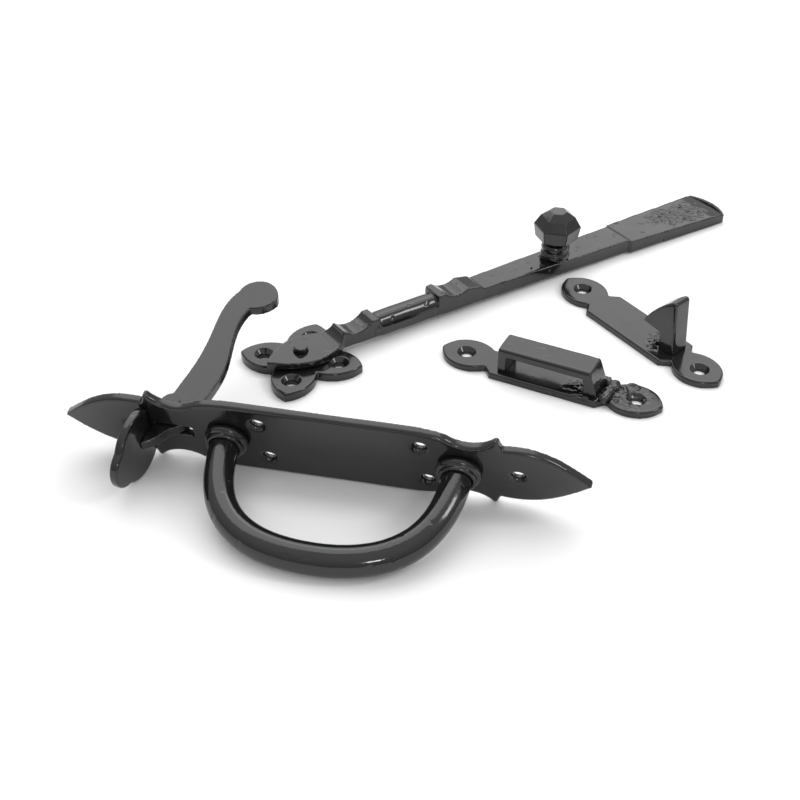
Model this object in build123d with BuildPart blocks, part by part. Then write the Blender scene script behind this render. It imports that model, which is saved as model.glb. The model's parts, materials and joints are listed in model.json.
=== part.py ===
from build123d import *
from math import acos, asin, atan2, cos, degrees, hypot, radians, sin
import os

# A black iron thumb latch, laid out as its four loose groups on a flat surface: the handle group
# (plate, D grip and thumb lever), the latch bar on its pivot plate, the keeper and the catch.
# Millimetres, +Z up. The origin is the bottom centre of the whole set's bounding box.

# ------------------------------------------------------------------ driving dimensions: fits
running_clearance = 0.08     # radial, a pin turning in its bore
side_clearance = 0.40        # beside a moving plate
bar_lift = 0.50              # under the latch bar's leaf, above the pivot plate
collar_clearance = 0.25      # radial, between the grip's legs and their collars

# ------------------------------------------------------------------ driving dimensions: handle
plate_length = 197.0
plate_thickness = 3.4
plate_bevel = 0.7
body_width = 35.2            # the straight middle of the plate
waist_width = 30.4           # where the body meets the hollows
nib_width = 35.6             # across the small points beside the leaves
leaf_width = 27.8
arch_width = 25.8            # across the hollows between body and nibs
leaf_length = 34.2           # nib to tip
arch_length = 17.8           # nib to the end of the body
shoulder_run = 16.4          # the body's rounded shoulders, along the plate
nib_round = 0.9

grip_spacing = 86.2          # between the two legs
grip_shift = 8.1             # the grip sits this far below the plate's middle
grip_reach = 45.4            # centreline beyond the plate's face
grip_leg_diameter = 10.8
grip_middle_diameter = 11.6
grip_tenon_diameter = 7.0
collar_wall = 3.0            # the collar beyond the grip's leg
collar_diameter = grip_leg_diameter + 2 * collar_wall
collar_height = 3.2
bead_wall = 1.7              # the bead beyond the grip's leg
bead_diameter = grip_leg_diameter + 2 * bead_wall
bead_height = 1.8

screw_hole_diameter = 4.4
screw_head_diameter = 8.2
small_hole_diameter = 4.2
small_head_diameter = 6.8
upper_holes_at = -21.6       # pairs of screw holes along the plate
lower_holes_at = 38.2
hole_pair_width = 18.6
hole_stagger = 1.2           # each hole of a pair is this far off the square line
leaf_hole_inset = 26.3       # leaf tip to its screw hole

slot_length = 15.0
slot_width = 5.0
slot_top_from_middle = 63.2
lever_thickness = slot_width - 2 * side_clearance
pivot_depth = 4.0            # lever pivot axis behind the plate's back
pivot_below_slot_top = 5.6
pivot_pin_diameter = 4.0
pin_head_size = 4.8
pin_head_height = 0.9
lug_radius = 5.6
lug_thickness = 3.0

tail_reach = 76.6            # plate's face to the far side of the tail's round end
tail_root_width = 13.0
tail_neck_width = 8.8
tail_lean = 7.0              # centre of the tail's neck, below the pivot
tail_end_diameter = 13.8
tail_offset = 16.4           # centre of the round end, below the pivot
pad_tilt = 8.5
pad_thickness = 3.4
pad_width = 28.6
pad_reach = 27.4
pad_tip_diameter = 17.6

# ------------------------------------------------------------------ driving dimensions: latch bar
pivot_plate_span = 52.0      # tip to tip
pivot_plate_thickness = 4.0
petal_hole_radius = 16.0
petal_notch_radius = 12.6
petal_bulge_width = 14.6

bar_length = 233.5           # rivet to the free end
bar_thickness = 6.2
bar_end_thickness = 5.0
bar_leaf_length = 16.2       # rivet to the leaf's tip
bar_leaf_width = 19.8
bar_leaf_thickness = 3.2
bar_neck_width = 9.2         # at the first ridge, beside the leaf
bar_shank_width = 11.4       # at the last ridge
bar_flat_width = 11.2        # the flat bar where it leaves the shank
bar_flat_end_width = 15.8    # the flat bar where it meets its wide end
tail_step_width = 18.4
bar_end_width = 23.4
first_ridge_height = 8.0     # the four ridges, from the leaf outward
second_ridge_height = 8.8
third_ridge_height = 9.8
fourth_ridge_height = 8.8
first_saddle_height = 5.4    # the hollow inside each pair of ridges
second_saddle_height = 7.4
round_section_base = 3.6
round_section_width = 10.6
bar_rivet_diameter = 5.8
bar_rivet_proud = 2.0

knob_at = 133.2              # along the bar from the rivet
knob_across = -0.8           # off the bar's centreline
knob_collar_diameter = 13.4
knob_stem_diameter = 6.0
knob_neck_diameter = 9.6
knob_collar_height = 7.6
knob_width = 21.3            # across corners, at the widest
knob_head_height = 13.2
knob_turn = 16               # degrees, of the hexagon from the bar's line
knob_gap = 2.6               # between the collar and the head

# ------------------------------------------------------------------ driving dimensions: keeper, catch
fixing_length = 96.0
fixing_width = 19.8
fixing_thickness = 3.0
fixing_bevel = 0.6
fixing_hole_inset = 11.0
fixing_leaf_length = 21.2    # waist to tip
fixing_leaf_width = 19.2
fixing_waist_width = 12.6
fixing_waist_length = 0.9
shoulder_length = 3.1
waist_fillet = 0.8

bridge_length = 40.6
bridge_width = 12.8
bridge_height = 11.0
bridge_wall = 3.7
bridge_end_slope = 2.6
bridge_across = -0.9         # off the keeper plate's centreline
weld_radius = 2.3

hook_at = 23.5               # back of the hook, from the middle of the catch
hook_across = 1.6            # off the catch plate's centreline
hook_turn = 8.5              # degrees, from the catch plate's line
hook_height = 25.4
hook_lean = 1.8              # the top of the back, in from its foot
hook_width = 9.3
hook_leg = 8.0
hook_length = 17.4           # back of the hook to the tip of its nose
hook_nose_height = 9.7
hook_throat_height = 8.0     # underside of the nose, beside the leg
hook_top_radius = 1.5
hook_weld_radius = 1.9

# ------------------------------------------------------------------ layout on the surface
handle_place = (-28.9, -52.8)
handle_yaw = -12.4
pivot_place = (-40.8, 23.9)
pivot_plate_yaw = -11.2
bar_yaw = 33.95
keeper_start = (18.0, 34.7)  # the keeper's near-bar tip
keeper_yaw = -26.4
catch_start = (75.3, 87.8)   # the catch's near-bar tip
catch_yaw = -56.0


def beaded_ring(seat, bore, rows):
    """A turned ring standing on a plane. Each row is one rounded bead: its diameter and its height."""
    base = 0
    with BuildPart() as ring:
        with BuildSketch(Plane(origin=seat.origin, x_dir=seat.x_dir, z_dir=seat.y_dir * -1)):
            for diameter, height in rows:
                crown = min(0.3 * height, 0.9)
                edge = diameter / 2 - crown
                with BuildLine():
                    Line((bore / 2, base), (edge, base))
                    ThreePointArc((edge, base), (diameter / 2, base + height / 2), (edge, base + height))
                    Line((edge, base + height), (bore / 2, base + height))
                    Line((bore / 2, base + height), (bore / 2, base))
                make_face()
                base += height
        revolve(axis=Axis(seat.origin, seat.z_dir))
    return ring


def level_plane(place, yaw, height):
    """A horizontal plane on the surface, its X axis turned by yaw."""
    return Plane(origin=(place[0], place[1], height), x_dir=(cos(radians(yaw)), sin(radians(yaw)), 0))


# ------------------------------------------------------------------ the handle's rest pose
# The handle lies face down on the two lower nibs and on the bow of its grip. The nibs touch at the
# edge of their bevel, so the roll follows from the nib width, the reach and the bar's radius.
nib_half = nib_width / 2
grip_radius = grip_middle_diameter / 2
reach_from_bevel = grip_reach + plate_bevel
handle_roll = degrees(acos(grip_radius / hypot(nib_half, reach_from_bevel)) - atan2(reach_from_bevel, nib_half))
handle_height = nib_half * cos(radians(handle_roll)) - plate_bevel * sin(radians(handle_roll))

along = Vector(cos(radians(handle_yaw)), sin(radians(handle_yaw)), 0)
level_front = Vector(sin(radians(handle_yaw)), -cos(radians(handle_yaw)), 0)
front = level_front * cos(radians(handle_roll)) - Vector(0, 0, 1) * sin(radians(handle_roll))
across = front.cross(along)

# Local axes of the handle: x along the plate (the leaf above the thumb pad is at -x), y across it,
# z out of its front face. The lever works in the plane across x, its y pointing behind the plate.
face_origin = Vector(handle_place[0], handle_place[1], handle_height)
face_plane = Plane(origin=face_origin, x_dir=along, z_dir=front)
back_plane = face_plane.offset(-plate_thickness)

nib_at = plate_length / 2 - leaf_length
body_end_at = nib_at - arch_length
shoulder_at = body_end_at - shoulder_run
slot_top_at = -slot_top_from_middle
slot_bottom_at = slot_top_at + slot_length
pivot_at = slot_top_at + pivot_below_slot_top
pivot_behind = plate_thickness + pivot_depth
lever_mid_plane = Plane(origin=face_origin, x_dir=along, z_dir=across)
lever_plane = lever_mid_plane.offset(-lever_thickness / 2)

# ------------------------------------------------------------------ handle plate
leaf_shoulder = 2.0          # nib to the start of the leaf
leaf_half = leaf_width / 2
nib_peak = nib_half + 1.08 * nib_round    # rounding the sharp point takes this much off it
with BuildPart() as handle_plate:
    with BuildSketch(back_plane) as outline:
        with BuildLine():
            Line((0, body_width / 2), (shoulder_at, body_width / 2))
            Bezier(
                (shoulder_at, body_width / 2),
                (shoulder_at + 0.5 * shoulder_run, body_width / 2),
                (body_end_at - 3.0, waist_width / 2 + 1.5),
                (body_end_at, waist_width / 2),
            )
            ThreePointArc(
                (body_end_at, waist_width / 2),
                (body_end_at + arch_length / 2, arch_width / 2),
                (nib_at, nib_peak),
            )
            Line((nib_at, nib_peak), (nib_at + leaf_shoulder, leaf_half - 0.5))
            ThreePointArc(
                (nib_at + leaf_shoulder, leaf_half - 0.5),
                (nib_at + 2.2 * leaf_shoulder, leaf_half - 0.1),
                (nib_at + 3.4 * leaf_shoulder, leaf_half),
            )
            Bezier(
                (nib_at + 3.4 * leaf_shoulder, leaf_half),
                (nib_at + 0.55 * leaf_length, leaf_half),
                (nib_at + 0.76 * leaf_length, leaf_half * 0.5),
                (plate_length / 2, 0),
            )
            mirror(about=Plane.XZ)
            mirror(about=Plane.YZ)
        make_face()
        fillet(outline.vertices().group_by(Axis.Y)[-1], nib_round)
        fillet(outline.vertices().group_by(Axis.Y)[0], nib_round)
    extrude(amount=plate_thickness)
    front_edges = handle_plate.faces().sort_by(Axis(face_origin, front))[-1].outer_wire().edges()
    chamfer(front_edges, plate_bevel)
    with BuildSketch(back_plane):
        with Locations(((slot_top_at + slot_bottom_at) / 2, 0)):
            RectangleRounded(slot_length, slot_width, slot_width / 5)
    extrude(amount=plate_thickness, mode=Mode.SUBTRACT)
    with BuildSketch(back_plane):
        with GridLocations(grip_spacing, 0, 2, 1):
            with Locations((grip_shift, 0)):
                Circle(grip_tenon_diameter / 2)
    extrude(amount=plate_thickness, mode=Mode.SUBTRACT)
    pair_holes = [
        (pair_at - side * hole_stagger, side * hole_pair_width / 2)
        for pair_at in (upper_holes_at, lower_holes_at)
        for side in (-1, 1)
    ]
    leaf_holes = [(side * (plate_length / 2 - leaf_hole_inset), 0) for side in (-1, 1)]
    with Locations(face_plane.location):
        with Locations(pair_holes + leaf_holes):
            CounterSinkHole(small_hole_diameter / 2, small_head_diameter / 2, counter_sink_angle=90)

# ------------------------------------------------------------------ D grip
# Two straight-sided half bows that meet at the middle of the grip; the bar thickens to the middle.
grip_plane = lever_mid_plane
leg_half = grip_spacing / 2
with BuildPart() as grip_handle:
    with BuildLine(grip_plane) as bow:
        Bezier(
            (grip_shift - leg_half, 0),
            (grip_shift - leg_half, -0.71 * grip_reach),
            (grip_shift - 0.65 * leg_half, -grip_reach),
            (grip_shift, -grip_reach),
        )
        Bezier(
            (grip_shift, -grip_reach),
            (grip_shift + 0.65 * leg_half, -grip_reach),
            (grip_shift + leg_half, -0.71 * grip_reach),
            (grip_shift + leg_half, 0),
        )
    bow_wire = bow.wires()[0]
    for at, diameter in ((0, grip_leg_diameter), (0.5, grip_middle_diameter), (1, grip_leg_diameter)):
        with BuildSketch(Plane(origin=bow_wire @ at, x_dir=across, z_dir=bow_wire % at)):
            Circle(diameter / 2)
    sweep(path=bow_wire, multisection=True)
    with BuildSketch(back_plane):
        with GridLocations(grip_spacing, 0, 2, 1):
            with Locations((grip_shift, 0)):
                Circle(grip_tenon_diameter / 2)
    extrude(amount=plate_thickness)


def grip_collar(x):
    """A turned collar round one leg of the grip, seated on the plate, with a smaller bead on top."""
    seat = Plane(origin=face_plane.from_local_coords(Vector(x, 0, 0)), x_dir=along, z_dir=front)
    bore = grip_leg_diameter + 2 * collar_clearance
    return beaded_ring(seat, bore, [(collar_diameter, collar_height), (bead_diameter, bead_height)])


upper_grip_collar = grip_collar(grip_shift - leg_half)
lower_grip_collar = grip_collar(grip_shift + leg_half)


# ------------------------------------------------------------------ thumb lever
def pivot_lug(offset):
    """One of the two lugs behind the plate that carry the lever's pin; offset is its inner face."""
    with BuildPart() as lug:
        with BuildSketch(lever_mid_plane.offset(offset)):
            with Locations((pivot_at, pivot_behind)):
                Circle(lug_radius)
            with Locations((pivot_at, plate_thickness + pivot_depth / 2)):
                Rectangle(2 * lug_radius, pivot_depth)
            with Locations((pivot_at, plate_thickness - lug_radius)):
                Rectangle(4 * lug_radius, 2 * lug_radius, mode=Mode.SUBTRACT)
            with Locations((pivot_at, pivot_behind)):
                Circle(pivot_pin_diameter / 2, mode=Mode.SUBTRACT)
        extrude(amount=lug_thickness)
    return lug


left_pivot_lug = pivot_lug(slot_width / 2)
right_pivot_lug = pivot_lug(-slot_width / 2 - lug_thickness)

pin_half_length = slot_width / 2 + lug_thickness
with BuildPart() as thumb_pivot_pin:
    with BuildSketch(lever_mid_plane.offset(-pin_half_length)):
        with Locations((pivot_at, pivot_behind)):
            Circle(pivot_pin_diameter / 2)
    extrude(amount=2 * pin_half_length)
    for end in (-pin_half_length - pin_head_height, pin_half_length):
        with BuildSketch(lever_mid_plane.offset(end)):
            with Locations((pivot_at, pivot_behind)):
                RectangleRounded(pin_head_size, pin_head_size, pin_head_size / 6)
        extrude(amount=pin_head_height)

web_top = slot_top_at + side_clearance
web_bottom = slot_top_at + 0.82 * slot_length
pad_foot = slot_top_at - 0.8
tail_end_radius = tail_end_diameter / 2
tail_end = (pivot_at + tail_offset, tail_reach - tail_end_radius)
neck_at_pivot = pivot_at + tail_lean
gusset_reach = 9.8           # the lever's contact under the pad, out from the plate
with BuildPart() as thumb_lever:
    with BuildSketch(lever_plane) as lever_outline:
        with BuildLine():
            back_edge = Spline(
                (web_top, 0),
                (neck_at_pivot - tail_root_width / 2 - 3.4, 16.0),
                (neck_at_pivot - tail_root_width / 2 - 0.4, 28.0),
                (neck_at_pivot - tail_neck_width / 2 - 0.4, 46.0),
                (tail_end[0] - 1.4 * tail_end_radius, tail_end[1] + 0.6),
                tangents=[(0, 1), (0.62, 1)],
            )
            round_end = ThreePointArc(
                back_edge @ 1,
                (tail_end[0] + 0.10 * tail_end_radius, tail_reach),
                (tail_end[0] + 0.95 * tail_end_radius, tail_end[1] - 0.3 * tail_end_radius),
            )
            curl = ThreePointArc(
                round_end @ 1,
                (tail_end[0] + 0.45 * tail_end_radius, tail_end[1] - 0.88 * tail_end_radius),
                (tail_end[0] - 0.39 * tail_end_radius, tail_end[1] - 1.15 * tail_end_radius),
            )
            Spline(
                curl @ 1,
                (neck_at_pivot + tail_neck_width / 2, 50.0),
                (neck_at_pivot + tail_neck_width / 2 + 1.0, 38.0),
                (neck_at_pivot + tail_root_width / 2 - 0.8, 27.0),
                (neck_at_pivot + tail_root_width / 2 - 3.4, 15.0),
                (web_bottom, plate_thickness),
                tangents=[(-0.5, -1), (-0.3, -1)],
            )
            gusset_foot = (pad_foot - gusset_reach * sin(radians(pad_tilt)), -gusset_reach * cos(radians(pad_tilt)))
            Spline(
                (web_bottom, plate_thickness),
                (web_bottom - 3.1, 0),
                (web_bottom - 6.7, -2.8),
                (web_bottom - 8.9, -6.0),
                gusset_foot,
                tangents=[(-0.3, -1), (-0.9, -0.5)],
            )
            pad_joint = (pad_foot - sin(radians(pad_tilt)), -cos(radians(pad_tilt)))
            Line(gusset_foot, pad_joint)
            Line(pad_joint, (web_top, 0))
        make_face()
        with Locations((pivot_at, pivot_behind)):
            Circle(pivot_pin_diameter / 2 + running_clearance, mode=Mode.SUBTRACT)
    extrude(amount=lever_thickness)

# The pad's own plane: x across, y from the plate out to the tip, z up off its underside.
pad_out = front * cos(radians(pad_tilt)) - along * sin(radians(pad_tilt))
pad_up = along * -cos(radians(pad_tilt)) - front * sin(radians(pad_tilt))
pad_plane = Plane(
    origin=face_plane.from_local_coords(Vector(pad_foot, 0, 0)),
    x_dir=across * -1,
    z_dir=pad_up,
)
pad_tip_radius = pad_tip_diameter / 2
pad_lobe_radius = pad_width / 2
with BuildPart() as thumb_pad:
    with BuildSketch(pad_plane) as pad_outline:
        with Locations((0, 9.4)):
            Circle(pad_lobe_radius)
        with Locations((0, pad_reach - pad_tip_radius)):
            Circle(pad_tip_radius)
        with Locations((0, 1.2 - pad_lobe_radius)):
            Rectangle(3 * pad_lobe_radius, 2 * pad_lobe_radius, mode=Mode.SUBTRACT)
        notches = pad_outline.vertices().sort_by(Axis.Y)[-2:]
        fillet(notches, 1.2)
    extrude(amount=pad_thickness)
    rims = thumb_pad.edges().filter_by(GeomType.CIRCLE)
    fillet(rims, 0.8)

# ------------------------------------------------------------------ pivot plate and rivet
pivot_top = level_plane(pivot_place, pivot_plate_yaw, pivot_plate_thickness)
pivot_bottom = level_plane(pivot_place, pivot_plate_yaw, 0)
notch = petal_notch_radius * cos(radians(45))
bulge_at = 0.62 * pivot_plate_span / 2 + 0.38 * notch
with BuildPart() as pivot_plate:
    with BuildSketch(pivot_bottom):
        with BuildLine():
            for side in (1, -1):
                ThreePointArc(
                    (notch, side * notch),
                    (bulge_at, side * petal_bulge_width / 2),
                    (pivot_plate_span / 2, 0),
                )
            Line((notch, notch), (0, 0))
            Line((0, 0), (notch, -notch))
        petal = make_face()
        add([petal.rotate(Axis.Z, turn) for turn in (90, 180, 270)])
    extrude(amount=pivot_plate_thickness)
    top_edges = pivot_plate.faces().sort_by(Axis.Z)[-1].outer_wire().edges()
    chamfer(top_edges, fixing_bevel)
    with Locations(pivot_top.location):
        with PolarLocations(petal_hole_radius, 4):
            CounterSinkHole(screw_hole_diameter / 2, screw_head_diameter / 2, counter_sink_angle=90)
    with BuildSketch(pivot_bottom):
        Circle(bar_rivet_diameter / 2)
    extrude(amount=pivot_plate_thickness, mode=Mode.SUBTRACT)

leaf_top_height = pivot_plate_thickness + bar_lift + bar_leaf_thickness
with BuildPart() as pivot_rivet:
    with BuildSketch(pivot_bottom):
        Circle(bar_rivet_diameter / 2)
    extrude(amount=leaf_top_height + bar_rivet_proud)
    chamfer(pivot_rivet.edges().sort_by(Axis.Z)[-1], 0.4)

# ------------------------------------------------------------------ latch bar
# The bar rests on the pivot plate at one end and on the surface at the other, so it lies at a
# small slope. Its plan outline and its side profile are cut from the same length of bar.
bar_slope = degrees(asin((pivot_plate_thickness + bar_lift) / bar_length))
bar_dir = Vector(
    cos(radians(bar_yaw)) * cos(radians(bar_slope)),
    sin(radians(bar_yaw)) * cos(radians(bar_slope)),
    -sin(radians(bar_slope)),
)
bar_side = Vector(-sin(radians(bar_yaw)), cos(radians(bar_yaw)), 0)
bar_origin = Vector(pivot_place[0], pivot_place[1], pivot_plate_thickness + bar_lift)
bar_plane = Plane(origin=bar_origin, x_dir=bar_dir, z_dir=bar_dir.cross(bar_side))
bar_profile_plane = Plane(origin=bar_origin, x_dir=bar_dir, z_dir=bar_side * -1)

# Stations along the bar, from the rivet: the ridges, the round section between the two pairs of
# ridges, the start of the flat bar and the step at its wide end.
first_ridge_at, first_saddle_at, second_ridge_at = 18.2, 26.0, 32.4
ridge_flat = 3.0
round_start, round_end_at = 37.4, 65.5
third_ridge_at, second_saddle_at, fourth_ridge_at = 65.8, 74.3, 81.2
shank_end, flat_start = 88.2, 89.7
tail_at = 171.8
end_bulge = 3.4
stations = [
    (first_ridge_at, bar_neck_width / 2),
    (second_ridge_at + ridge_flat, bar_neck_width / 2 + 0.2),
    (round_start, round_section_width / 2),
    (round_end_at, round_section_width / 2),
    (fourth_ridge_at, bar_shank_width / 2),
    (shank_end, bar_shank_width / 2),
    (flat_start, bar_flat_width / 2),
    (tail_at, bar_flat_end_width / 2),
    (tail_at + 1.2, tail_step_width / 2),
    (bar_length - end_bulge, bar_end_width / 2),
]
with BuildPart() as latch_bar:
    with BuildSketch(bar_plane):
        with BuildLine():
            ThreePointArc((-bar_leaf_length, 0), (-4.2, bar_leaf_width * 0.42), (3.0, bar_leaf_width / 2))
            ThreePointArc((3.0, bar_leaf_width / 2), (12.4, bar_leaf_width * 0.39), stations[0])
            Polyline(*stations)
            ThreePointArc(stations[-1], (bar_length - 0.9, bar_end_width / 4), (bar_length, 0))
            mirror(about=Plane.XZ)
        make_face()
    extrude(amount=third_ridge_height + 1)
    with BuildSketch(bar_profile_plane) as profile:
        with BuildLine():
            Line((-bar_leaf_length - 1, 0), (-bar_leaf_length - 1, bar_leaf_thickness))
            Line((-bar_leaf_length - 1, bar_leaf_thickness), (13.4, bar_leaf_thickness))
            rise = ThreePointArc(
                (13.4, bar_leaf_thickness),
                (16.6, bar_leaf_thickness + 1.8),
                (first_ridge_at, first_ridge_height),
            )
            hollow = ThreePointArc(
                rise @ 1,
                (first_saddle_at, first_saddle_height),
                (second_ridge_at, second_ridge_height),
            )
            Polyline(
                hollow @ 1,
                (second_ridge_at + ridge_flat, second_ridge_height),
                (round_start, round_section_base),
                (round_end_at, round_section_base),
                (third_ridge_at, third_ridge_height - 0.2),
                (third_ridge_at + ridge_flat, third_ridge_height),
            )
            ThreePointArc(
                (third_ridge_at + ridge_flat, third_ridge_height),
                (second_saddle_at, second_saddle_height),
                (fourth_ridge_at, fourth_ridge_height),
            )
            Polyline(
                (fourth_ridge_at, fourth_ridge_height),
                (shank_end, bar_thickness + 1.2),
                (flat_start, bar_thickness),
                (tail_at, bar_thickness),
                (tail_at + 1.2, bar_thickness - 0.3),
                (bar_length + 1, bar_end_thickness),
                (bar_length + 1, 0),
                (-bar_leaf_length - 1, 0),
            )
        make_face()
    extrude(amount=bar_end_width, both=True, mode=Mode.INTERSECT)
    round_plane = Plane(
        origin=bar_plane.from_local_coords(Vector(second_ridge_at + ridge_flat / 2, 0, 0)),
        x_dir=bar_side,
        z_dir=bar_dir,
    )
    with BuildSketch(round_plane):
        with Locations((0, round_section_base - 0.5)):
            Circle(round_section_width / 2)
        with Locations((0, round_section_base - 0.5 - round_section_width / 2)):
            Rectangle(round_section_width + 2, round_section_width, mode=Mode.SUBTRACT)
    extrude(amount=third_ridge_at + ridge_flat / 2 - second_ridge_at - ridge_flat / 2)
    with BuildSketch(level_plane(pivot_place, bar_yaw, 0)):
        Circle(bar_rivet_diameter / 2 + running_clearance)
    extrude(amount=leaf_top_height + first_ridge_height, mode=Mode.SUBTRACT)
    with BuildSketch(bar_plane):
        with Locations((knob_at, knob_across)):
            Circle(knob_stem_diameter / 2)
    extrude(amount=bar_thickness, mode=Mode.SUBTRACT)

# ------------------------------------------------------------------ knob
knob_plane = Plane(
    origin=bar_plane.from_local_coords(Vector(knob_at, knob_across, bar_thickness)),
    x_dir=bar_dir,
    z_dir=bar_plane.z_dir,
)
knob_collar = beaded_ring(
    knob_plane,
    knob_stem_diameter,
    [(knob_collar_diameter, knob_collar_height / 2), (knob_collar_diameter - 0.6, knob_collar_height / 2)],
)

head_base = knob_collar_height + knob_gap
head_rows = [(0, 0.90), (0.46, 1.0), (0.80, 0.74), (1.0, 0.36)]
with BuildPart() as knob:
    for share, width_share in head_rows:
        with BuildSketch(knob_plane.offset(head_base + share * knob_head_height)):
            RegularPolygon(width_share * knob_width / 2, 6, rotation=knob_turn)
    loft(ruled=True)
    with BuildSketch(knob_plane.offset(knob_collar_height)):
        Circle(knob_neck_diameter / 2)
    extrude(amount=knob_gap)
    with BuildSketch(knob_plane.offset(-bar_thickness)):
        Circle(knob_stem_diameter / 2)
    extrude(amount=bar_thickness + knob_collar_height)


# ------------------------------------------------------------------ keeper and catch plates
def fixing_plate(middle):
    """The leaf-ended plate that the keeper and the catch share, centred on a level plane."""
    half = fixing_length / 2
    waist = half - fixing_leaf_length
    waist_start = waist - fixing_waist_length
    waist_half = fixing_waist_width / 2
    leaf_half_width = fixing_leaf_width / 2
    with BuildPart() as plate:
        with BuildSketch(middle) as plate_outline:
            with BuildLine():
                Polyline(
                    (0, fixing_width / 2),
                    (waist_start - shoulder_length, fixing_width / 2),
                    (waist_start, waist_half),
                    (waist, waist_half),
                )
                ThreePointArc(
                    (waist, waist_half),
                    (half - 0.55 * fixing_leaf_length, leaf_half_width),
                    (half - 0.18 * fixing_leaf_length, leaf_half_width * 0.66),
                )
                ThreePointArc(
                    (half - 0.18 * fixing_leaf_length, leaf_half_width * 0.66),
                    (half - 0.075 * fixing_leaf_length, leaf_half_width * 0.36),
                    (half, 0),
                )
                mirror(about=Plane.XZ)
                mirror(about=Plane.YZ)
            make_face()
            waist_corners = plate_outline.vertices().filter_by(lambda v: abs(abs(v.Y) - waist_half) < 0.01)
            fillet(waist_corners.filter_by(lambda v: abs(abs(v.X) - waist) < 0.01), waist_fillet)
        extrude(amount=fixing_thickness)
        chamfer(plate.faces().sort_by(Axis.Z)[-1].outer_wire().edges(), fixing_bevel)
        with Locations(middle.offset(fixing_thickness).location):
            with Locations((half - fixing_hole_inset, 0), (fixing_hole_inset - half, 0)):
                CounterSinkHole(screw_hole_diameter / 2, screw_head_diameter / 2, counter_sink_angle=90)
    return plate


def middle_from_tip(tip, yaw):
    """The middle of a fixing plate whose first tip lies at a given point."""
    reach = fixing_length / 2
    return (tip[0] + reach * cos(radians(yaw)), tip[1] + reach * sin(radians(yaw)))


keeper_place = middle_from_tip(keeper_start, keeper_yaw)
keeper_plane = level_plane(keeper_place, keeper_yaw, 0)
keeper_side_plane = Plane(
    origin=keeper_plane.from_local_coords(Vector(0, bridge_across, fixing_thickness)),
    x_dir=keeper_plane.x_dir,
    z_dir=keeper_plane.y_dir * -1,
)
keeper_plate = fixing_plate(keeper_plane)

# The bridge is a strap bent over the channel that the latch bar works in. One end slopes outward.
bridge_half = bridge_length / 2
with BuildPart() as keeper_bridge:
    with BuildSketch(keeper_side_plane.offset(-bridge_width / 2)):
        with BuildLine():
            Polyline(
                (-bridge_half, 0),
                (-bridge_half, bridge_height),
                (bridge_half - bridge_end_slope / 2, bridge_height),
                (bridge_half + bridge_end_slope, 0),
                (bridge_half - bridge_wall, 0),
                (bridge_half - bridge_wall, bridge_height - bridge_wall),
                (bridge_wall - bridge_half, bridge_height - bridge_wall),
                (bridge_wall - bridge_half, 0),
                close=True,
            )
        make_face()
    extrude(amount=bridge_width)
    long_edges = keeper_bridge.edges().filter_by(lambda e: e.length > bridge_length - 3).group_by(Axis.Z)[-1]
    fillet(long_edges, 1.4)

with BuildPart() as keeper_weld:
    weld_start = keeper_side_plane.from_local_coords(Vector(bridge_half + bridge_end_slope + 0.3, 0, bridge_width / 2))
    with BuildSketch(Plane(origin=weld_start, x_dir=keeper_plane.x_dir, z_dir=keeper_plane.y_dir)):
        with BuildLine():
            CenterArc((0, 0), weld_radius, 180, 180)
            Line((-weld_radius, 0), (weld_radius, 0))
        make_face()
    extrude(amount=bridge_width)
    add(keeper_bridge.part, mode=Mode.SUBTRACT)

catch_place = middle_from_tip(catch_start, catch_yaw)
catch_plane = level_plane(catch_place, catch_yaw, 0)
catch_plate = fixing_plate(catch_plane)

# The hook stands on the catch plate. Its back leans in a little and its sloped front lifts the latch bar.
hook_yaw = catch_yaw + hook_turn
hook_level = level_plane((0, 0), hook_yaw, 0)
hook_plane = Plane(
    origin=catch_plane.from_local_coords(Vector(hook_at, hook_across, fixing_thickness)),
    x_dir=hook_level.x_dir,
    z_dir=hook_level.y_dir * -1,
)
with BuildPart() as catch_hook:
    with BuildSketch(hook_plane.offset(-hook_width / 2)) as hook_outline:
        with BuildLine():
            Line((0, 0), (-hook_lean, hook_height))
            ThreePointArc(
                (-hook_lean, hook_height),
                (-0.58 * hook_length, 0.75 * hook_height),
                (-hook_length, hook_nose_height),
            )
            Line((-hook_length, hook_nose_height), (-hook_leg, hook_throat_height))
            Line((-hook_leg, hook_throat_height), (-hook_leg, 0))
            Line((-hook_leg, 0), (0, 0))
        make_face()
        top_corner = hook_outline.vertices().sort_by_distance((-hook_lean, hook_height, 0))[0]
        fillet(top_corner, hook_top_radius)
        inner_corner = hook_outline.vertices().sort_by_distance((-hook_leg, hook_throat_height, 0))[0]
        fillet(inner_corner, 1.2)
    extrude(amount=hook_width)
    slope_edges = catch_hook.edges().filter_by(GeomType.CIRCLE).filter_by(lambda e: e.radius > 5)
    fillet(slope_edges, 1.0)

# The bead that welds the front of the hook's foot to its plate.
with BuildPart() as catch_weld:
    bead_start = hook_plane.from_local_coords(Vector(-hook_leg, 0, hook_width / 2))
    with BuildSketch(Plane(origin=bead_start, x_dir=hook_level.x_dir, z_dir=hook_level.y_dir)):
        with BuildLine():
            CenterArc((0, 0), hook_weld_radius, 180, 90)
            Line((0, 0), (-hook_weld_radius, 0))
            Line((0, 0), (0, -hook_weld_radius))
        make_face()
    extrude(amount=hook_width)

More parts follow.
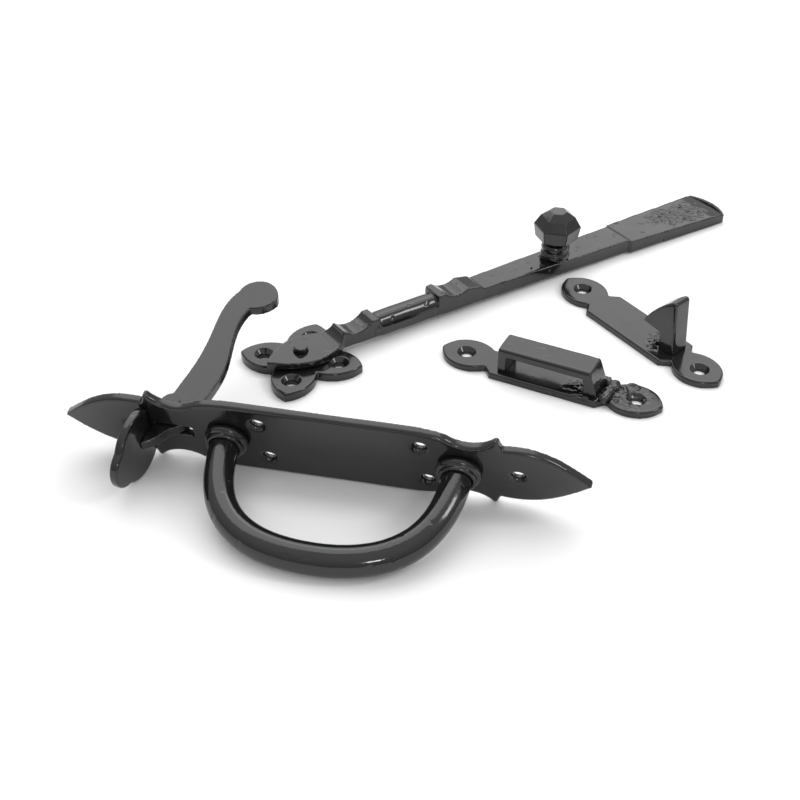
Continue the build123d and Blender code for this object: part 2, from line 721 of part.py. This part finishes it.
# ------------------------------------------------------------------ finished pieces
pieces = {
    "handle_plate": handle_plate,
    "grip_handle": grip_handle,
    "upper_grip_collar": upper_grip_collar,
    "lower_grip_collar": lower_grip_collar,
    "left_pivot_lug": left_pivot_lug,
    "right_pivot_lug": right_pivot_lug,
    "thumb_pivot_pin": thumb_pivot_pin,
    "thumb_lever": thumb_lever,
    "thumb_pad": thumb_pad,
    "pivot_plate": pivot_plate,
    "pivot_rivet": pivot_rivet,
    "latch_bar": latch_bar,
    "knob_collar": knob_collar,
    "knob": knob,
    "keeper_plate": keeper_plate,
    "keeper_bridge": keeper_bridge,
    "keeper_weld": keeper_weld,
    "catch_plate": catch_plate,
    "catch_hook": catch_hook,
    "catch_weld": catch_weld,
}
set_box = Compound(children=[Compound([piece.part]) for piece in pieces.values()]).bounding_box()
to_origin = Location((-set_box.center().X, -set_box.center().Y, -set_box.min.Z))

if __name__ == "__main__":
    os.makedirs("parts", exist_ok=True)
    for name, piece in pieces.items():
        piece.part.move(to_origin)
        piece.part.label = name
        export_step(piece.part, f"parts/{name}.step")
    print(f"handle roll {handle_roll:.2f} degrees, bar slope {bar_slope:.2f} degrees")
    print(f"set {set_box.size.X:.1f} x {set_box.size.Y:.1f} x {set_box.size.Z:.1f} mm")
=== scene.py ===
# %% [markdown]
# # A black iron thumb latch, laid out on a pale table
# The set is four loose groups: a handle with its D grip and thumb lever, a long latch bar on its
# pivot plate, a keeper and a catch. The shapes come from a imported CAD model, which loads as a
# fixed frame. Here each piece gets the skin of the real thing: forged edges, weld beads and thick
# gloss black paint.

# %% Load the frame
import json
import math
import random

import bmesh
import bpy
import numpy as np
from mathutils import Matrix, Vector, noise


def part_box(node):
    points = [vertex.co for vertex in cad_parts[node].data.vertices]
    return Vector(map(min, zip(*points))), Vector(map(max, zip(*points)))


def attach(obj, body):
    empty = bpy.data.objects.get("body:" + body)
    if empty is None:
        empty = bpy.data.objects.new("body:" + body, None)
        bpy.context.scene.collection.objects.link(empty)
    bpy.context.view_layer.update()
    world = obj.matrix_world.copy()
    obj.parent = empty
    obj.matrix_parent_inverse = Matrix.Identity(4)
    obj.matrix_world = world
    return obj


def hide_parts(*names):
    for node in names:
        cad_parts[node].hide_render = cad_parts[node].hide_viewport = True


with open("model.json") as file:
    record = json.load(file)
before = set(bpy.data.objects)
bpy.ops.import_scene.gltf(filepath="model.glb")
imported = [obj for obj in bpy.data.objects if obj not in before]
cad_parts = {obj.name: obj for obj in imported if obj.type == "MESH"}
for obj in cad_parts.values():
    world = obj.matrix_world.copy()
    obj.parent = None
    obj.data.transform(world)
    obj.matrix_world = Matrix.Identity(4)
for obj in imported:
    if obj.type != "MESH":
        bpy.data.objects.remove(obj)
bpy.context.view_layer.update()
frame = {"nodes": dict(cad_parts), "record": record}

MM = 0.001
scene = bpy.context.scene
record = frame["record"]
bodies = record["behaviour"]["bodies"]
body_of_node = {node: body for body, nodes in bodies.items() for node in nodes}
slot_of_node = {part["node"]: part["material_slot"] for part in record["subparts"]}

# %% [markdown]
# ## Camera
# A product picture of loose hardware looks down on it, here at 37 degrees and from about half a
# metre away. The camera is aimed at a point on the table to the right of the pivot plate and in
# front of it, and its lens is a little longer than a normal one, so that the set fills the
# picture.

# %% Camera
ELEVATION = math.radians(37.0)
DISTANCE = 541 * MM
LENS = 60.75
AIM_FROM_PIVOT = Vector((40.8, -23.9, 0)) * MM


def middle(node):
    """The centre of a CAD node's box."""
    low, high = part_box(node)
    return (low + high) / 2


pivot_middle = middle("pivot_plate")
aim = Vector((pivot_middle.x, pivot_middle.y, 0)) + AIM_FROM_PIVOT
camera_data = bpy.data.cameras.new("studio_camera")
camera_data.lens = LENS
camera_data.clip_start = 0.01
camera = bpy.data.objects.new("studio_camera", camera_data)
scene.collection.objects.link(camera)
to_camera = Vector((0, -math.cos(ELEVATION), math.sin(ELEVATION)))
camera.location = aim + to_camera * DISTANCE
camera.rotation_euler = (-to_camera).to_track_quat("-Z", "Y").to_euler()
scene.camera = camera
scene.view_settings.view_transform = "Standard"
print("camera at", [round(v, 3) for v in camera.location])

# %% [markdown]
# ## Table and light
# Black gloss paint has almost no colour of its own: what the eye sees is the room mirrored in it.
# So the light is the first half of the material. The room is grey at table height and pale
# overhead. Two wide softboxes, one behind the table and one above it, put the grey sheen on every
# surface that faces up. Two small bright ones, in front and to the right, draw the thin bright
# lines along edges.

# %% Table
TABLE_SIZE = 12.0    # metres
table_mesh = bpy.data.meshes.new("table")
table_shape = bmesh.new()
bmesh.ops.create_grid(table_shape, x_segments=2, y_segments=2, size=TABLE_SIZE / 2)
table_shape.to_mesh(table_mesh)
table_shape.free()
table = bpy.data.objects.new("table", table_mesh)
scene.collection.objects.link(table)
table_paint = bpy.data.materials.new("table_white")
table_paint.use_nodes = True
table_surface = table_paint.node_tree.nodes["Principled BSDF"]
table_surface.inputs["Base Color"].default_value = (0.90, 0.90, 0.90, 1)
table_surface.inputs["Roughness"].default_value = 0.9
table_surface.inputs["Specular IOR Level"].default_value = 0.1
table_mesh.materials.append(table_paint)
print("table", TABLE_SIZE, "m wide")

# %% Light
WALLS, CEILING = 0.42, 0.95            # how bright the room is at table height and overhead
WALLS_END, CEILING_START = 0.05, 0.90  # heights of a look direction, from 0 level to 1 straight up
room = bpy.data.worlds.new("pale_room")
room.use_nodes = True
room_tree = room.node_tree
look_direction = room_tree.nodes.new("ShaderNodeTexCoord")
look_height = room_tree.nodes.new("ShaderNodeSeparateXYZ")
room_tree.links.new(look_direction.outputs["Generated"], look_height.inputs["Vector"])
brighter_up = room_tree.nodes.new("ShaderNodeMapRange")
brighter_up.inputs["From Min"].default_value = WALLS_END
brighter_up.inputs["From Max"].default_value = CEILING_START
brighter_up.inputs["To Min"].default_value = WALLS
brighter_up.inputs["To Max"].default_value = CEILING
room_tree.links.new(look_height.outputs["Z"], brighter_up.inputs["Value"])
room_tree.links.new(brighter_up.outputs["Result"], room_tree.nodes["Background"].inputs["Strength"])
room_tree.nodes["Background"].inputs["Color"].default_value = (1, 1, 1, 1)
scene.world = room


def softbox(name, direction, distance, size, radiance):
    """An area light of a given brightness, aimed at the set. Its power follows from its area.

    The direction is from the set to the lamp. Distance and size are in metres.
    """
    light = bpy.data.lights.new(name, "AREA")
    light.shape = "RECTANGLE"
    light.size, light.size_y = size
    light.energy = radiance * math.pi * size[0] * size[1]
    lamp = bpy.data.objects.new(name, light)
    scene.collection.objects.link(lamp)
    away = Vector(direction).normalized()
    lamp.location = aim + away * distance
    lamp.rotation_euler = away.to_track_quat("Z", "Y").to_euler()
    return lamp


softbox("back_softbox", (0.05, 0.80, 0.60), 1.3, (1.8, 0.75), 1.15)
softbox("overhead_softbox", (-0.10, 0.42, 0.90), 1.3, (1.5, 0.9), 1.55)
softbox("front_softbox", (0.10, -0.88, 0.46), 1.2, (0.20, 0.10), 22.0)
softbox("right_softbox", (0.85, -0.10, 0.75), 1.2, (0.20, 0.40), 10.0)

# %% [markdown]
# ## What the paint does
# Four effects turn up in every one of the paints, so each is a node group: the orange peel of
# sprayed paint, gloss that is uneven from place to place, nibs where grit sat under the paint, and
# edges rubbed thin, whose grey also paints in the bright highlight that rounded edges catch from
# the lamps. A group gives out only a height, a mask or a value. The shader stays in the material.


# %% A helper for node groups
def node_group(name, inputs, outputs):
    """An empty shader node group with named float inputs and outputs, and its two end nodes."""
    group = bpy.data.node_groups.new(name, "ShaderNodeTree")
    for label, value in inputs.items():
        socket = group.interface.new_socket(label, in_out="INPUT", socket_type="NodeSocketFloat")
        socket.default_value = value
    for label in outputs:
        group.interface.new_socket(label, in_out="OUTPUT", socket_type="NodeSocketFloat")
    start = group.nodes.new("NodeGroupInput")
    end = group.nodes.new("NodeGroupOutput")
    print("group", group.name)
    return group, start, end


def math_node(tree, operation, first, second):
    """A Math node whose inputs are each a socket or a number."""
    node = tree.nodes.new("ShaderNodeMath")
    node.operation = operation
    for socket, value in zip(node.inputs, (first, second)):
        if isinstance(value, bpy.types.NodeSocket):
            tree.links.new(value, socket)
        else:
            socket.default_value = value
    return node.outputs[0]


def range_node(tree, value, low, high, to_low=0.0, to_high=1.0):
    """A Map Range node, smooth between its ends. Each end is a socket or a number."""
    node = tree.nodes.new("ShaderNodeMapRange")
    node.interpolation_type = "SMOOTHSTEP"
    ends = {"Value": value, "From Min": low, "From Max": high, "To Min": to_low, "To Max": to_high}
    for label, end in ends.items():
        if isinstance(end, bpy.types.NodeSocket):
            tree.links.new(end, node.inputs[label])
        else:
            node.inputs[label].default_value = end
    return node.outputs["Result"]


def noise_node(tree, scale, detail, roughness=0.5):
    """A Noise texture on the object's own coordinates, in metres."""
    place = tree.nodes.new("ShaderNodeTexCoord")
    texture = tree.nodes.new("ShaderNodeTexNoise")
    texture.inputs["Detail"].default_value = detail
    texture.inputs["Roughness"].default_value = roughness
    tree.links.new(place.outputs["Object"], texture.inputs["Vector"])
    if isinstance(scale, bpy.types.NodeSocket):
        tree.links.new(scale, texture.inputs["Scale"])
    else:
        texture.inputs["Scale"].default_value = scale
    return texture.outputs["Fac"]


# %% [markdown]
# **Orange peel.** Sprayed paint sets in shallow cells about a millimetre wide. Two layers of
# noise, one four times finer than the other, are enough, because the bump is only a few
# hundredths of a millimetre deep.

# %% Orange peel
FINER = 4.0         # how many fine cells fit across a coarse one
FINE_SHARE = 0.22   # height of the fine cells, against the coarse ones
orange_peel, peel_in, peel_out = node_group("orange_peel", {"Cells per metre": 800.0}, ["Height"])
coarse_cells = noise_node(orange_peel, peel_in.outputs["Cells per metre"], 1.0)
finer = math_node(orange_peel, "MULTIPLY", peel_in.outputs["Cells per metre"], FINER)
fine_cells = math_node(orange_peel, "MULTIPLY", noise_node(orange_peel, finer, 0.0), FINE_SHARE)
peel_height = math_node(orange_peel, "ADD", coarse_cells, fine_cells)
orange_peel.links.new(peel_height, peel_out.inputs["Height"])

# %% [markdown]
# **Uneven gloss.** Thick paint flows out shiny on the flats and stays duller where it was thin or
# handled, so the roughness drifts between two values over a centimetre or two.

# %% Uneven gloss
uneven_gloss, gloss_in, gloss_out = node_group(
    "uneven_gloss", {"Shiny": 0.15, "Dull": 0.35, "Patches per metre": 60.0}, ["Roughness"]
)
drift = noise_node(uneven_gloss, gloss_in.outputs["Patches per metre"], 4.0, 0.6)
shiny_end, dull_end = gloss_in.outputs["Shiny"], gloss_in.outputs["Dull"]
gloss = range_node(uneven_gloss, drift, 0.35, 0.68, shiny_end, dull_end)
uneven_gloss.links.new(gloss, gloss_out.inputs["Roughness"])

# %% [markdown]
# **Nibs.** Scale left from forging shows through paint as small raised nibs. A Voronoi texture
# gives one point in each cell, its distance makes a dome, and its random colour picks which cells
# have one and how wide it is.

# %% Nibs
paint_nibs, nibs_in, nibs_out = node_group(
    "paint_nibs", {"Nibs per metre": 260.0, "Share": 0.25, "Size": 0.30}, ["Height"]
)
nib_place = paint_nibs.nodes.new("ShaderNodeTexCoord")
nib_cells = paint_nibs.nodes.new("ShaderNodeTexVoronoi")
paint_nibs.links.new(nib_place.outputs["Object"], nib_cells.inputs["Vector"])
paint_nibs.links.new(nibs_in.outputs["Nibs per metre"], nib_cells.inputs["Scale"])
nib_pick = paint_nibs.nodes.new("ShaderNodeSeparateColor")
paint_nibs.links.new(nib_cells.outputs["Color"], nib_pick.inputs["Color"])
chosen = math_node(paint_nibs, "LESS_THAN", nib_pick.outputs["Red"], nibs_in.outputs["Share"])
nib_radius = math_node(paint_nibs, "MULTIPLY", nibs_in.outputs["Size"], nib_pick.outputs["Green"])
dome = range_node(paint_nibs, nib_cells.outputs["Distance"], nib_radius, 0.0)
nib_height = math_node(paint_nibs, "MULTIPLY", dome, chosen)
paint_nibs.links.new(nib_height, nibs_out.inputs["Height"])

# %% [markdown]
# ** Worn edges and painted edge highlight.** Paint draws back from a sharp edge, and hands rub it, so edges turn a little greyer. The same grey also paints in the bright highlight that rounded edges catch from the lamps. The Geometry node's pointiness is high on convex edges, and noise breaks the line up.

# %% Worn edges and painted edge highlight
BREAKS_PER_METRE = 420.0
# This mask greys convex edges: partly real paint wear, partly a painted highlight standing in for
# the lamps' glint on rounded edges.
edge_wear_and_highlight, edges_in, edges_out = node_group("edge_wear_and_highlight", {"Start": 0.52, "Full": 0.62}, ["Mask"])
point = edge_wear_and_highlight.nodes.new("ShaderNodeNewGeometry").outputs["Pointiness"]
edge = range_node(edge_wear_and_highlight, point, edges_in.outputs["Start"], edges_in.outputs["Full"])
breaks = range_node(edge_wear_and_highlight, noise_node(edge_wear_and_highlight, BREAKS_PER_METRE, 3.0), 0.38, 0.62)
edge_wear_and_highlight.links.new(math_node(edge_wear_and_highlight, "MULTIPLY", edge, breaks), edges_out.inputs["Mask"])

# %% [markdown]
# ## The paints
# The four paints are the same gloss black on different iron: cast plate, forged bar, turned or
# headed pins, and weld beads. A function wires the groups into one Principled shader, and each
# paint passes its own values. What doesn't vary over the surface is set straight on the shader's
# sockets.


# %% Iron paint
def place_group(tree, group, **values):
    """Puts a node group in a material and sets its inputs. An underscore stands for a space."""
    node = tree.nodes.new("ShaderNodeGroup")
    node.node_tree = group
    for label, value in values.items():
        node.inputs[label.replace("_", " ")].default_value = value
    return node


def bump_node(tree, height, depth, strength, under=None):
    """A Bump node whose depth is in metres, on top of another bump's normal if one is given."""
    node = tree.nodes.new("ShaderNodeBump")
    node.inputs["Strength"].default_value = strength
    node.inputs["Distance"].default_value = depth
    tree.links.new(height, node.inputs["Height"])
    if under is not None:
        tree.links.new(under, node.inputs["Normal"])
    return node.outputs["Normal"]


PAINT_BLACK = (0.0085, 0.0088, 0.0092, 1)
# Edge grey: partly real paint wear, partly a painted highlight for the bright glint the lamps leave
# on rounded edges.
WORN_AND_HIGHLIGHT_GREY = (0.05, 0.05, 0.051, 1)
WEAR_AND_HIGHLIGHT = 0.5              # how far a worn edge goes from black to grey
WORN_ROUGHNESS = 0.10   # what wear adds to the roughness
NIB_DEPTH = 0.05        # millimetres


def iron_paint(name, shiny, dull, peel_depth, cells=800.0, nib_share=0.25):
    """Gloss black paint on iron, its roughness between shiny and dull.

    The orange peel is peel_depth millimetres deep, in cells per metre, and nib_share of the
    places that could have a nib have one.
    """
    material = bpy.data.materials.new(name)
    material.use_nodes = True
    tree = material.node_tree
    surface = tree.nodes["Principled BSDF"]
    surface.inputs["IOR"].default_value = 1.50
    surface.inputs["Coat Weight"].default_value = 0.15
    surface.inputs["Coat Roughness"].default_value = 0.04
    peel = place_group(tree, orange_peel, Cells_per_metre=cells)
    nibs = place_group(tree, paint_nibs, Share=nib_share)
    edges = place_group(tree, edge_wear_and_highlight)
    gloss_patches = place_group(tree, uneven_gloss, Shiny=shiny, Dull=dull)
    # The base colour goes from black to grey along convex edges: real wear, and a painted edge
    # highlight.
    tone = tree.nodes.new("ShaderNodeMix")
    tone.data_type = "RGBA"
    tone.inputs["A"].default_value = PAINT_BLACK
    tone.inputs["B"].default_value = WORN_AND_HIGHLIGHT_GREY
    worn_and_highlit = math_node(tree, "MULTIPLY", edges.outputs["Mask"], WEAR_AND_HIGHLIGHT)
    tree.links.new(worn_and_highlit, tone.inputs["Factor"])
    tree.links.new(tone.outputs["Result"], surface.inputs["Base Color"])
    rubbed = math_node(tree, "MULTIPLY", edges.outputs["Mask"], WORN_ROUGHNESS)
    roughness = math_node(tree, "ADD", gloss_patches.outputs["Roughness"], rubbed)
    tree.links.new(roughness, surface.inputs["Roughness"])
    peel_normal = bump_node(tree, peel.outputs["Height"], peel_depth * MM, 1.0)
    nib_normal = bump_node(tree, nibs.outputs["Height"], NIB_DEPTH * MM, 0.8, peel_normal)
    tree.links.new(nib_normal, surface.inputs["Normal"])
    return material


paints = {
    "plate_paint": iron_paint("gloss_black_on_plate", 0.10, 0.22, 0.012, nib_share=0.15),
    "forging_paint": iron_paint("gloss_black_on_forging", 0.07, 0.18, 0.018, nib_share=0.20),
    "pin_paint": iron_paint("gloss_black_on_pins", 0.07, 0.14, 0.010, cells=1200.0),
    "weld_paint": iron_paint("gloss_black_on_weld", 0.05, 0.14, 0.030, nib_share=0.4),
}
print("paints", sorted(paints))

# %% [markdown]
# ## Forged skins
# The CAD pieces have knife-sharp edges and dead flat faces, and forged iron has neither. Each
# piece is copied, remeshed into small even faces, smoothed so that its edges round over, and
# pushed in and out by noise: long swells from the hammer, shorter dents, and here and there a
# nick. The copy stands for the CAD node and rides on the same body. The whole shape is real
# geometry, so it shows in outline and in the mesh alike.


# %% Helpers for forged skins
def even_mesh(name, source, voxel, rounding):
    """A copy of an object's mesh in even faces, voxel millimetres wide, with rounded edges."""
    mesh = source.data.copy()
    shape = bmesh.new()
    shape.from_mesh(mesh)
    bmesh.ops.remove_doubles(shape, verts=shape.verts, dist=0.001 * MM)
    shape.to_mesh(mesh)
    shape.free()
    blank = bpy.data.objects.new(name, mesh)
    scene.collection.objects.link(blank)
    remesh = blank.modifiers.new("even_faces", "REMESH")
    remesh.mode = "VOXEL"
    remesh.voxel_size = voxel * MM
    smooth = blank.modifiers.new("rounded_edges", "SMOOTH")
    smooth.factor = 0.5
    smooth.iterations = rounding
    graph = bpy.context.evaluated_depsgraph_get()
    even = bpy.data.meshes.new_from_object(blank.evaluated_get(graph))
    even.name = name
    bpy.data.objects.remove(blank)
    bpy.data.meshes.remove(mesh)
    return even


def read_points(mesh):
    """A mesh's points and normals, as arrays of rows."""
    points = np.empty(len(mesh.vertices) * 3)
    normals = np.empty(len(mesh.vertices) * 3)
    mesh.vertices.foreach_get("co", points)
    mesh.vertices.foreach_get("normal", normals)
    return points.reshape(-1, 3), normals.reshape(-1, 3)


def rough(points, wavelength, shift=0.0):
    """Smooth noise within -1 to 1 at each point. The wavelength is in millimetres.

    Each layer of noise has a shift of its own, so that no two layers are alike.
    """
    scaled = points / (wavelength * MM) + shift
    return np.array([noise.noise(Vector(p)) for p in scaled])


def step(values, low, high):
    """A smooth step, from 0 at low to 1 at high."""
    share = np.clip((values - low) / (high - low), 0, 1)
    return share * share * (3 - 2 * share)


def finish_skin(name, mesh, points, node):
    """Makes the piece from its mesh and points, none below the table, to stand for its CAD node."""
    points[:, 2] = np.maximum(points[:, 2], 0)
    mesh.vertices.foreach_set("co", points.ravel())
    mesh.shade_smooth()
    mesh.materials.clear()
    mesh.materials.append(paints[slot_of_node[node]])
    mesh.update()
    piece = bpy.data.objects.new(name, mesh)
    scene.collection.objects.link(piece)
    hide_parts(node)
    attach(piece, body_of_node[node])
    return piece


SWELL_LENGTH, DENT_LENGTH, NICK_LENGTH = 22.0, 6.0, 2.8   # wavelengths, in millimetres
NICK_START, NICK_FULL = 0.50, 0.66                        # only the peaks of its noise make a nick


def forge(node, voxel=0.45, rounding=3, swell=0.10, dent=0.03, nick=0.0, extra=None):
    """The forged skin of one CAD node. Sizes are in millimetres; extra adds heights of its own."""
    mesh = even_mesh(node + "_skin", frame["nodes"][node], voxel, rounding)
    points, normals = read_points(mesh)
    height = swell * rough(points, SWELL_LENGTH) + dent * rough(points, DENT_LENGTH, 7.3)
    if nick > 0:
        height = height - nick * step(rough(points, NICK_LENGTH, 4.9), NICK_START, NICK_FULL)
    if extra is not None:
        height = height + extra(points, normals)
    points = points + normals * (height * MM)[:, None]
    piece = finish_skin(node + "_skin", mesh, points, node)
    print(f"{piece.name}: {len(mesh.polygons)} faces")
    return piece


# %% [markdown]
# ## The handle
# Plate, D grip, two turned collars, the lugs and pin behind the plate, and the thumb lever with
# its pad. The plate and the lever are hammered flat, so they swell more than the collars, which
# are turned.

# %% Handle skins
forge("handle_plate", rounding=5, swell=0.14, dent=0.035)
forge("grip_handle", rounding=2, swell=0.16, nick=0.12)
for collar in ("upper_grip_collar", "lower_grip_collar"):
    forge(collar, voxel=0.30, swell=0.05, dent=0.05)
for pivot_piece in ("left_pivot_lug", "right_pivot_lug", "thumb_pivot_pin"):
    forge(pivot_piece, voxel=0.30, swell=0.03)
forge("thumb_lever", voxel=0.40)
forge("thumb_pad", voxel=0.35, swell=0.12, dent=0.04)

# %% [markdown]
# ## The latch bar
# The bar has two marks of the hammer that the CAD leaves out. Its wide end was left rough from
# the anvil in an oval patch, and the very end slopes down to a thin lip. Both are heights added
# to the skin, so first each point needs its place along and across the bar.

# %% Along the bar
WIDE_END = 220   # millimetres from the rivet; the points beyond it give the bar's line
rivet_middle = middle("pivot_rivet")
bar_points, _ = read_points(frame["nodes"]["latch_bar"].data)
from_rivet = bar_points[:, :2] - np.array(rivet_middle[:2])
far_points = from_rivet[np.linalg.norm(from_rivet, axis=1) > WIDE_END * MM]
bar_line = far_points.mean(axis=0) / np.linalg.norm(far_points.mean(axis=0))
bar_reach = (from_rivet @ bar_line).max() / MM
print(f"bar reaches {bar_reach:.1f} mm from its rivet")


def along_bar(points):
    """Each point's distance along the bar from the rivet and across it, in millimetres."""
    flat = (points[:, :2] - np.array(rivet_middle[:2])) / MM
    return flat @ bar_line, flat @ np.array((-bar_line[1], bar_line[0]))


# %% The bar's wide end
PATCH_FROM_END = 24.0     # centre of the rough patch, back from the free end
PATCH_HALF = (16.0, 8.5)  # along and across the bar
PIT_DEPTH = 0.50
GRAIN = 0.26              # the finer roughness between the pits
END_SLOPE = 13.0          # length of the slope down to the lip
LIP_DROP = 1.9            # how far the slope brings the top down


def anvil_marks(points, normals):
    """The heights, in millimetres, of the rough patch and of the slope down to the lip."""
    run, side = along_bar(points)
    from_patch = run - (bar_reach - PATCH_FROM_END)
    oval = np.hypot(from_patch / PATCH_HALF[0], side / PATCH_HALF[1])
    ragged = step(1.15 - oval + 0.35 * rough(points, 5.0, 3.1), 0.0, 0.45)
    inside = ragged * step(normals[:, 2], 0.6, 0.9)
    pits = -PIT_DEPTH * step(rough(points, 2.4, 1.7), 0.0, 0.40) + GRAIN * rough(points, 1.7, 9.4)
    slope = np.clip((run - (bar_reach - END_SLOPE)) / END_SLOPE, 0, 1) ** 2
    return inside * pits - LIP_DROP * slope * step(normals[:, 2], 0.3, 0.8)


# %% Bar skins
forge("latch_bar", voxel=0.40, swell=0.12, dent=0.05, nick=0.22, extra=anvil_marks)
forge("pivot_plate", voxel=0.35, swell=0.08)
forge("pivot_rivet", voxel=0.25, swell=0.03, dent=0.08)
forge("knob_collar", voxel=0.25, swell=0.05, dent=0.05)
forge("knob", voxel=0.28, rounding=2, swell=0.08, dent=0.04)

# %% [markdown]
# ## Keeper and catch
# Two cast plates with a bent strap and a hook standing on them. Their paint is thick enough to
# round the countersinks. Round each weld the plate carries ripples and spatter, which fade with
# distance, so they are heights added to the plate's skin and not pieces of their own.


# %% Keeper and catch skins
def spatter(weld, reach, depth):
    """Heights, in millimetres, that are rough near a weld and fade out at the given reach."""
    middle_of_weld = np.array(middle(weld)[:2])

    def heights(points, normals):
        away = np.linalg.norm(points[:, :2] - middle_of_weld, axis=1) / MM
        ragged = away + 3.0 * rough(points, 7.0, 2.2)
        near = (1 - step(ragged, 0.45 * reach, reach)) * step(normals[:, 2], 0.3, 0.8)
        lumps = step(rough(points, 2.6, 5.5), -0.10, 0.35) + 0.7 * rough(points, 1.6, 8.1)
        return depth * near * lumps

    return heights


for plate, weld, reach, depth in (
    ("keeper_plate", "keeper_weld", 20.0, 0.55),
    ("catch_plate", "catch_weld", 9.0, 0.60),
):
    forge(plate, voxel=0.35, swell=0.12, dent=0.05, extra=spatter(weld, reach, depth))
forge("keeper_bridge", voxel=0.35, swell=0.12, dent=0.05, nick=0.15)
forge("catch_hook", voxel=0.35, rounding=4, dent=0.04)

# %% [markdown]
# ## Weld beads
# A weld laid by hand is a row of overlapping drops. Each bead is a line of balls whose size and
# place vary, over the length of the plain bead in the CAD and spread a little away from the piece
# it holds. The same remesh melts them into one skin.


# %% Weld beads
DROP_VOXEL, DROP_ROUNDING = 0.25, 5
DROP_SCATTER = 0.45             # each drop is off the row by up to this much, in millimetres
SMALLEST, LARGEST = 0.80, 1.15  # drops, against their given radius
RIPPLE_HEIGHT, RIPPLE_LENGTH = 0.10, 1.6


def weld_bead(node, away_from, drops, radius, spread, seed):
    """A hand-laid weld over a CAD bead, spread away from the piece it holds, in millimetres."""
    points, _ = read_points(frame["nodes"][node].data)
    centre = points.mean(axis=0)
    _, _, axes = np.linalg.svd(points - centre, full_matrices=False)
    reach = (points - centre) @ axes[0]
    outward = centre - np.array(middle(away_from))
    outward = outward - axes[0] * (outward @ axes[0])
    outward[2] = 0
    outward = outward / np.linalg.norm(outward)
    draw = random.Random(seed)
    shape = bmesh.new()
    for drop in range(drops):
        along_row = reach.min() + (drop + 0.5) / drops * (reach.max() - reach.min())
        place = centre + axes[0] * along_row
        scatter = [draw.uniform(-DROP_SCATTER, DROP_SCATTER) * MM for _ in range(3)]
        place = place + np.array(scatter)
        place = place + outward * draw.uniform(0, spread) * MM
        place[2] = points[:, 2].min() + 0.3 * radius * MM
        size = radius * draw.uniform(SMALLEST, LARGEST) * MM
        ball = Matrix.Translation(place) @ Matrix.Diagonal((size, size, size * 0.85, 1))
        bmesh.ops.create_icosphere(shape, subdivisions=3, radius=1.0, matrix=ball)
    mesh = bpy.data.meshes.new(node + "_drops")
    shape.to_mesh(mesh)
    shape.free()
    source = bpy.data.objects.new(node + "_drops", mesh)
    skin = even_mesh(node + "_skin", source, DROP_VOXEL, DROP_ROUNDING)
    bpy.data.objects.remove(source)
    skin_points, normals = read_points(skin)
    ripples = RIPPLE_HEIGHT * rough(skin_points, RIPPLE_LENGTH, seed) * MM
    skin_points = skin_points + normals * ripples[:, None]
    piece = finish_skin(node + "_skin", skin, skin_points, node)
    print(f"{piece.name}: {drops} drops, {len(skin.polygons)} faces")
    return piece


weld_bead("keeper_weld", "keeper_bridge", drops=15, radius=1.9, spread=3.0, seed=3)
weld_bead("catch_weld", "catch_hook", drops=7, radius=1.3, spread=1.2, seed=8)
